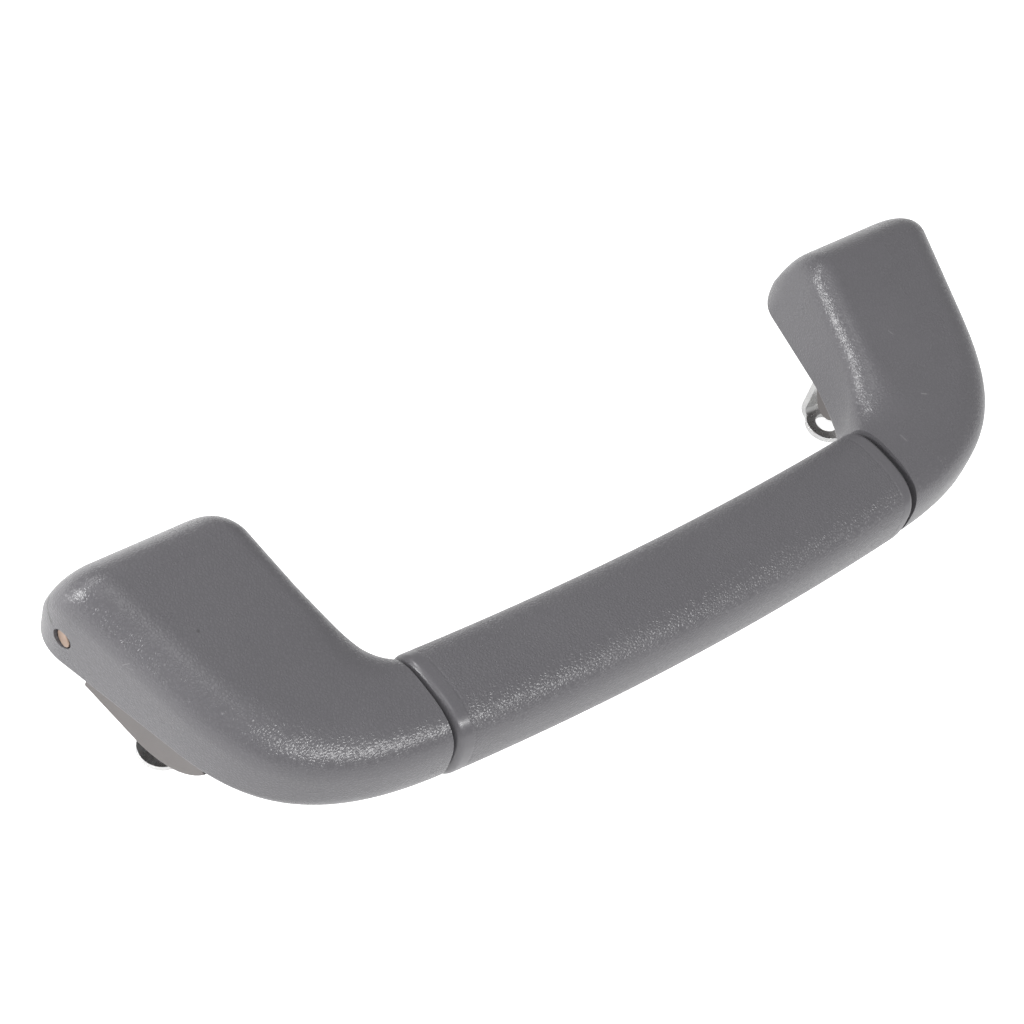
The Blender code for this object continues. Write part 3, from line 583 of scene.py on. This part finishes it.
def notch(side):
    """The slot in the nose that the bracket swings out through."""
    low = (CHEEK_INNER_X - NOTCH_SIDE_GAP, PIN_Y, RIM_HEIGHT - WALL)
    high = (CHEEK_OUTER_X + NOTCH_SIDE_GAP, DEPTH, PIN_Z + NOTCH_TOP)
    return mesh_object("notch", box(low, high), side)


def moulded_handle(mat):
    """Both arms and the core of the grip as one skin, with the bores cut before the hollows."""
    lip = SEAM_X + SEAM_GROOVE / 2
    right = [grip_station(lip * k / CORE_STEPS).loop(SLEEVE_WALL) for k in range(CORE_STEPS + 1)]
    right += arm_rings()
    bm = bmesh.new()
    fill_loft(bm, mirrored(right[:0:-1]) + right)
    handle = mesh_object("moulded_handle", bm)
    cutters = [bore(side) for side in SIDES.values()]
    for side_name, side in SIDES.items():
        cutters += [hollow(side_name, side), notch(side)]
    carve(handle, cutters)
    soften(handle, SMOOTH_ANGLE)
    return shown_as(handle, mat, "handle_moulding", "handle", "handle_frame")


def sleeve_places():
    """Places along half the sleeve, and how far in the skin lies at each: collar, rolled end."""
    end = SEAM_X - SEAM_GROOVE / 2
    crease = end - COLLAR_LENGTH + COLLAR_CREASE
    for k in range(SLEEVE_STEPS):
        yield (end - COLLAR_LENGTH) * k / SLEEVE_STEPS, 0.0
    for k in range(COLLAR_STEPS):
        x = end - mix(COLLAR_LENGTH, SLEEVE_ROLL, k / COLLAR_STEPS)
        yield x, COLLAR_SINK * math.exp(-((x - crease) / (COLLAR_CREASE / 2)) ** 2)
    for k in range(SLEEVE_END_STEPS + 1):
        turn = k / SLEEVE_END_STEPS * math.pi / 2
        yield end - SLEEVE_ROLL * (1 - math.sin(turn)), SLEEVE_ROLL * (1 - math.cos(turn))


def grip_skin(mat):
    """The sleeve: its skin and its inside, joined at both ends into one closed ring."""
    right = [grip_station(x).loop(sink) for x, sink in sleeve_places()]
    inside = [grip_station(x).loop(SLEEVE_WALL - CLEARANCE) for x, _ in sleeve_places()]
    rings = mirrored(right[:0:-1]) + right + (mirrored(inside[:0:-1]) + inside)[::-1]
    bm = bmesh.new()
    rows = [[bm.verts.new(p) for p in ring] for ring in rings]
    join_rows(bm, rows + rows[:1])
    bmesh.ops.recalc_face_normals(bm, faces=bm.faces)
    skin = mesh_object("grip_skin", bm)
    soften(skin, SLEEVE_SMOOTH_ANGLE)
    return shown_as(skin, mat, "sleeve_skin", "handle", "grip_sleeve")


def eased(name, node, mat, slot, body, width):
    """A solid with its edges slightly rounded, as moulding, rolling and plating leave them."""
    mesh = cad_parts[node].data.copy()
    bm = bmesh.new()
    bm.from_mesh(mesh)
    bmesh.ops.remove_doubles(bm, verts=bm.verts, dist=WELD_DISTANCE)
    bmesh.ops.dissolve_limit(bm, angle_limit=FLAT_ANGLE, verts=bm.verts, edges=bm.edges)
    bm.to_mesh(mesh)
    bm.free()
    mesh.name = name
    obj = bpy.data.objects.new(name, mesh)
    bpy.context.collection.objects.link(obj)
    bevel = obj.modifiers.new("eased_edges", "BEVEL")
    bevel.width = width
    bevel.segments = EASED_SEGMENTS
    bevel.limit_method = "ANGLE"
    bevel.angle_limit = EASED_ANGLE
    bevel.harden_normals = True
    soften(obj, EASED_ANGLE)
    return shown_as(obj, mat, slot, body, node)


class Wiring:
    """A node tree, with short ways to add nodes and to wire them."""

    def __init__(self, tree):
        self.nodes = tree.nodes
        self.links = tree.links

    def wire(self, value, socket):
        """Link an output to a socket, or set the socket where the value is a fixed one."""
        if isinstance(value, bpy.types.NodeSocket):
            self.links.new(value, socket)
        elif value is not None:
            socket.default_value = value

    def fill(self, node, sockets):
        """Wire the named sockets of a node, where an underscore stands for a space."""
        for key, value in sockets.items():
            self.wire(value, node.inputs[key.replace("_", " ")])

    def here(self):
        """Places in the object's own coordinates."""
        return self.nodes.new("ShaderNodeTexCoord").outputs["Object"]

    def texture(self, kind, places, feature=None, **sockets):
        node = self.nodes.new("ShaderNodeTex" + kind)
        if feature:
            node.feature = feature
        self.fill(node, {"Vector": places, **sockets})
        return node.outputs

    def maths(self, operation, a, b=None, clamp=False):
        node = self.nodes.new("ShaderNodeMath")
        node.operation = operation
        node.use_clamp = clamp
        self.wire(a, node.inputs[0])
        self.wire(b, node.inputs[1])
        return node.outputs[0]

    def vectors(self, operation, a, b=None, scale=None):
        """Vector maths, which gives a number where the operation measures something."""
        node = self.nodes.new("ShaderNodeVectorMath")
        node.operation = operation
        self.wire(a, node.inputs[0])
        self.wire(b, node.inputs[1])
        if scale is not None:
            self.wire(scale, node.inputs["Scale"])
        return node.outputs["Value" if operation in MEASURING_OPERATIONS else "Vector"]


def new_group(name, inputs, outputs):
    """A node group, with its own wiring, the values it is given and the sockets it fills."""
    group = bpy.data.node_groups.new(name, "ShaderNodeTree")
    for socket_name, kind, value in inputs:
        socket = group.interface.new_socket(socket_name, in_out="INPUT", socket_type=kind)
        socket.default_value = value
    for socket_name in outputs:
        group.interface.new_socket(socket_name, in_out="OUTPUT", socket_type=FLOAT)
    source = group.nodes.new("NodeGroupInput").outputs
    sink = group.nodes.new("NodeGroupOutput").inputs
    return group, Wiring(group), source, sink


def pebble_grain():
    """A leather-like grain: rounded cells of uneven size with fine creases between them."""
    group, wiring, source, sink = new_group(
        "pebble_grain",
        [("Cells per Metre", FLOAT, GRAIN_CELLS_PER_METRE), ("Warp", FLOAT, GRAIN_WARP)],
        ["Height", "Crease"])
    here = wiring.here()
    density = source["Cells per Metre"]
    drift = wiring.texture("Noise", here, Scale=GRAIN_DRIFTS_PER_METRE, Detail=GRAIN_DRIFT_DETAIL)
    centred = wiring.vectors("SUBTRACT", drift["Color"], (0.5, 0.5, 0.5))
    moved = wiring.vectors("ADD", here, wiring.vectors("SCALE", centred, scale=source["Warp"]))
    cells = wiring.texture("Voronoi", moved, "SMOOTH_F1",
                           Smoothness=GRAIN_SMOOTHNESS, Scale=density)
    creases = wiring.texture("Voronoi", moved, "DISTANCE_TO_EDGE", Scale=density)
    dome = wiring.maths("SUBTRACT", 1.0, cells["Distance"])
    line = wiring.maths("MULTIPLY", creases["Distance"], CREASE_SHARPNESS, clamp=True)
    wiring.wire(wiring.maths("MULTIPLY", dome, line), sink["Height"])
    # The crease mask, which the skins use to paint shade into the creases
    wiring.wire(wiring.maths("SUBTRACT", 1.0, line), sink["Crease"])
    return group


def cloudy():
    """Slow changes over a moulded face: a mask between 0 and 1."""
    group, wiring, source, sink = new_group(
        "cloudy",
        [("Patches per Metre", FLOAT, 60.0), ("Contrast", FLOAT, CLOUD_CONTRAST)],
        ["Mask"])
    noise = wiring.texture("Noise", wiring.here(),
                           Scale=source["Patches per Metre"], Detail=CLOUD_DETAIL)
    low = wiring.maths("SUBTRACT", noise["Fac"], 0.5)
    spread = wiring.maths("MULTIPLY", low, source["Contrast"])
    wiring.wire(wiring.maths("ADD", spread, 0.5, clamp=True), sink["Mask"])
    return group


def spot():
    """A mask that is 1 inside a ball about a place on the object and fades at its edge."""
    group, wiring, source, sink = new_group(
        "spot",
        [("Place", VECTOR, (0.0, 0.0, 0.0)), ("Radius", FLOAT, 1.0 * MM),
         ("Fade", FLOAT, 0.5 * MM)],
        ["Mask"])
    away = wiring.vectors("DISTANCE", wiring.here(), source["Place"])
    past = wiring.maths("SUBTRACT", source["Radius"], away)
    share = wiring.maths("DIVIDE", past, source["Fade"])
    wiring.wire(wiring.maths("ADD", share, 0.5, clamp=True), sink["Mask"])
    return group


def stroke():
    """A mask that is 1 on a fine line: close to a plane through a place and within reach of it."""
    group, wiring, source, sink = new_group(
        "stroke",
        [("Place", VECTOR, (0.0, 0.0, 0.0)), ("Across", VECTOR, (1.0, 0.0, 0.0)),
         ("Reach", FLOAT, 3.0 * MM), ("Half Width", FLOAT, 0.1 * MM)],
        ["Mask"])
    reach, half_width = source["Reach"], source["Half Width"]
    offset = wiring.vectors("SUBTRACT", wiring.here(), source["Place"])
    left = wiring.maths("SUBTRACT", reach, wiring.vectors("LENGTH", offset))
    fade = wiring.maths("MULTIPLY", reach, STROKE_FADE_SHARE)
    ending = wiring.maths("DIVIDE", left, fade, clamp=True)
    off = wiring.maths("ABSOLUTE", wiring.vectors("DOT_PRODUCT", offset, source["Across"]))
    inside = wiring.maths("SUBTRACT", half_width, off)
    thin = wiring.maths("ADD", wiring.maths("DIVIDE", inside, half_width), 0.5, clamp=True)
    wiring.wire(wiring.maths("MULTIPLY", ending, thin), sink["Mask"])
    return group


def sleeve_ends():
    """A mask that is 1 on the smooth collars at both ends of the sleeve."""
    group, wiring, source, sink = new_group(
        "sleeve_ends", [("Start", FLOAT, 60.0 * MM), ("Fade", FLOAT, COLLAR_FADE)], ["Mask"])
    split = wiring.nodes.new("ShaderNodeSeparateXYZ")
    wiring.wire(wiring.here(), split.inputs[0])
    along = wiring.maths("ABSOLUTE", split.outputs["X"])
    past = wiring.maths("SUBTRACT", along, source["Start"])
    wiring.wire(wiring.maths("DIVIDE", past, source["Fade"], clamp=True), sink["Mask"])
    return group


class Finish(Wiring):
    """A material with a Principled shader."""

    def __init__(self, name, **sockets):
        self.mat = bpy.data.materials.new(name)
        self.mat.use_nodes = True
        super().__init__(self.mat.node_tree)
        self.shader = self.nodes["Principled BSDF"]
        self.fill(self.shader, sockets)

    def feed(self, **sockets):
        self.fill(self.shader, sockets)

    def place(self, group, **sockets):
        """What a group gives, with the named sockets filled."""
        node = self.nodes.new("ShaderNodeGroup")
        node.node_tree = group
        self.fill(node, sockets)
        return node.outputs

    def between(self, low, high, mask):
        """A colour or a number that goes from low to high as the mask goes from 0 to 1."""
        node = self.nodes.new("ShaderNodeMix")
        node.data_type = "RGBA" if isinstance(high, tuple) else "FLOAT"
        first, second, result = MIX_SOCKETS[node.data_type]
        for index, value in ((first, low), (second, high)):
            self.wire((*value, 1.0) if isinstance(value, tuple) else value, node.inputs[index])
        self.wire(mask, node.inputs[0])
        return node.outputs[result]

    def marked(self, tone, color, strength, group, **sockets):
        """The tone with a mark of another colour over it, where the mask of a group lies."""
        mask = self.place(group, **sockets)["Mask"]
        return self.between(tone, color, self.maths("MULTIPLY", mask, strength))

    def bump(self, height, depth):
        node = self.nodes.new("ShaderNodeBump")
        self.fill(node, {"Height": height, "Distance": depth})
        self.feed(Normal=node.outputs["Normal"])


GRAIN = pebble_grain()
CLOUDY = cloudy()
SPOT = spot()
STROKE = stroke()
SLEEVE_ENDS = sleeve_ends()


def grained_plastic(name, color, drifted, roughness, depth,
                    dots=(), strokes=(), collar_start=None):
    """A skin with the leather-like grain, painted shade in its creases, its marks, and smooth
    collars from a place outwards.
    """
    finish = Finish(name)
    grain = finish.place(GRAIN, Cells_per_Metre=GRAIN_CELLS_PER_METRE)
    clouds = finish.place(CLOUDY, Patches_per_Metre=SKIN_PATCHES_PER_METRE)["Mask"]
    # Painted shade in the grain's creases: a darker copy of the colour, laid on where the creases
    # run
    crease_shade = tuple(c * CREASE_SHADE_TONE for c in color)
    tone = finish.between(color, drifted, clouds)
    tone = finish.between(tone, crease_shade, finish.maths("MULTIPLY", grain["Crease"], CREASE_SHADE_STRENGTH))
    for place, radius, fade, mark, strength in dots:
        tone = finish.marked(tone, mark, strength, SPOT,
                             Place=Vector(place) * MM, Radius=radius * MM, Fade=fade * MM)
    # The strokes hold the painted shadow of the witness line, and the scuffs
    for place, across, reach, half_width, mark, strength in strokes:
        tone = finish.marked(tone, mark, strength, STROKE,
                             Place=Vector(place) * MM, Across=Vector(across).normalized(),
                             Reach=reach * MM, Half_Width=half_width * MM)
    rough = finish.between(*roughness, clouds)
    height = grain["Height"]
    if collar_start:
        ends = finish.place(SLEEVE_ENDS, Start=collar_start)["Mask"]
        height = finish.between(height, COLLAR_HEIGHT, ends)
        rough = finish.between(rough, COLLAR_ROUGHNESS, ends)
    finish.feed(Base_Color=tone, Roughness=rough)
    finish.bump(height, depth)
    return finish.mat


def clouded(finish, looks, patches, contrast, fine_patches, depth):
    """A finish whose colour and roughness drift over a face, with a fine texture on top."""
    color, drifted, roughness = looks
    clouds = finish.place(CLOUDY, Patches_per_Metre=patches, Contrast=contrast)["Mask"]
    fine = finish.place(CLOUDY, Patches_per_Metre=fine_patches, Contrast=FINE_CONTRAST)["Mask"]
    finish.feed(Base_Color=finish.between(color, drifted, clouds),
                Roughness=finish.between(*roughness, clouds))
    finish.bump(fine, depth)
    return finish.mat


def moulded_plastic(name, *looks):
    return clouded(Finish(name), looks, *PLASTIC_TEXTURE)


def plated_steel(name, *looks):
    return clouded(Finish(name, Metallic=1.0), looks, *STEEL_TEXTURE)


def dress():
    """Make the materials, and show every piece with its own."""
    moulding = grained_plastic("handle_moulding_grey", *MOULDING_LOOKS, MOULDING_GRAIN_DEPTH,
                               DOTS, STROKES)
    sleeve = grained_plastic("sleeve_skin_grey", *SLEEVE_LOOKS, SLEEVE_GRAIN_DEPTH,
                             collar_start=SEAM_X - COLLAR_LENGTH)
    bracket = moulded_plastic("bracket_plastic", *BRACKET_LOOKS)
    zinc = plated_steel("zinc_plate", *ZINC_LOOKS)
    pin = plated_steel("yellow_zinc_plate", *YELLOW_ZINC_LOOKS)
    wire = plated_steel("drawn_wire", *WIRE_LOOKS)
    acetal = moulded_plastic("white_acetal", *ACETAL_LOOKS)
    black = moulded_plastic("damper_black", *DAMPER_LOOKS)
    rubber = moulded_plastic("stop_rubber", *RUBBER_LOOKS)
    moulded_handle(moulding)
    grip_skin(sleeve)
    for side_name in SIDES:
        shell = "bracket_" + side_name + "_shell"
        bracket_side = "bracket_" + side_name
        eased("pin_" + side_name, "hinge_pin_" + side_name, pin, "yellow_zinc", "handle", 0.3 * MM)
        eased(shell, "bracket_body_" + side_name, bracket, "bracket_moulding", bracket_side,
              0.3 * MM)
        eased("strap_" + side_name, "screw_strap_" + side_name, zinc, "zinc_steel", bracket_side,
              0.25 * MM)
        eased("bush_" + side_name, "spring_bush_" + side_name, acetal, "white_acetal", "handle",
              0.15 * MM)
        eased("pad_" + side_name, "stop_pad_" + side_name, rubber, "stop_rubber", "handle",
              0.4 * MM)
        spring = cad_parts["torsion_spring_" + side_name].data
        spring.materials.clear()
        spring.materials.append(wire)
    eased("spacer_left", "pin_spacer_left", acetal, "white_acetal", "handle", 0.2 * MM)
    eased("damper_barrel", "damper_housing_right", black, "damper_black", "handle", 0.3 * MM)
    eased("damper_hub", "damper_rotor_right", acetal, "white_acetal", "bracket_right", 0.2 * MM)


def stage():
    """White paper under the handle, which also glows as far as the camera and mirrors see it."""
    bm = bmesh.new()
    bmesh.ops.create_grid(bm, x_segments=1, y_segments=1, size=FLOOR_SIZE)
    bmesh.ops.translate(bm, verts=bm.verts, vec=(0.0, 0.0, -FLOOR_DROP))
    floor = mesh_object("paper", bm)
    paper = Finish("white_paper", Base_Color=PAPER_COLOR, Roughness=PAPER_ROUGHNESS)
    rays = paper.nodes.new("ShaderNodeLightPath").outputs
    to_camera = paper.maths("MULTIPLY", rays["Is Camera Ray"], FLOOR_SEEN_LIGHT)
    mirrored_in = paper.maths("MULTIPLY", rays["Is Glossy Ray"], FLOOR_MIRRORED_LIGHT)
    paper.feed(Emission_Color=WHITE,
               Emission_Strength=paper.maths("ADD", to_camera, mirrored_in))
    floor.data.materials.append(paper.mat)


def studio():
    """A world that is white where the camera sees it, and lights the rest more weakly."""
    world = bpy.data.worlds.new("studio")
    bpy.context.scene.world = world
    world.use_nodes = True
    wiring = Wiring(world.node_tree)
    rays = wiring.nodes.new("ShaderNodeLightPath").outputs
    seen = wiring.maths("MAXIMUM", rays["Is Camera Ray"], rays["Is Transmission Ray"])
    rest = wiring.maths("MULTIPLY", wiring.maths("SUBTRACT", 1.0, seen), WORLD_LIGHT)
    wiring.fill(wiring.nodes["Background"],
                {"Color": WHITE, "Strength": wiring.maths("ADD", seen, rest)})


def soft_box(name, way, distance, size, power):
    """A rectangular light that faces the camera's aim."""
    data = bpy.data.lights.new(name, "AREA")
    data.shape = "RECTANGLE"
    data.size, data.size_y = size
    data.energy = power
    lamp = bpy.data.objects.new(name, data)
    bpy.context.collection.objects.link(lamp)
    way = Vector(way).normalized()
    lamp.location = VIEW_AIM + way * distance
    lamp.rotation_euler = way.to_track_quat("Z", "Y").to_euler()


def lights():
    for name, (way, distance, size, power) in SOFT_BOXES.items():
        soft_box(name, way, distance, size, power)


def camera():
    flat = math.cos(VIEW_ELEVATION)
    back = Vector((math.sin(VIEW_AZIMUTH) * flat, -math.cos(VIEW_AZIMUTH) * flat,
                   math.sin(VIEW_ELEVATION)))
    level = Vector((math.cos(VIEW_AZIMUTH), math.sin(VIEW_AZIMUTH), 0.0))
    rise = back.cross(level)
    right = level * math.cos(VIEW_ROLL) - rise * math.sin(VIEW_ROLL)
    up = level * math.sin(VIEW_ROLL) + rise * math.cos(VIEW_ROLL)
    data = bpy.data.cameras.new("photo_view")
    data.sensor_width = SENSOR_WIDTH
    data.lens = VIEW_LENS
    data.clip_start = CLIP_START
    eye = bpy.data.objects.new("photo_view", data)
    bpy.context.collection.objects.link(eye)
    turn = Matrix((right, up, back)).transposed().to_4x4()
    eye.matrix_world = Matrix.Translation(VIEW_AIM + back * VIEW_DISTANCE) @ turn
    bpy.context.scene.camera = eye


dress()
stage()
studio()
lights()
camera()
bpy.context.scene.view_settings.view_transform = "Standard"
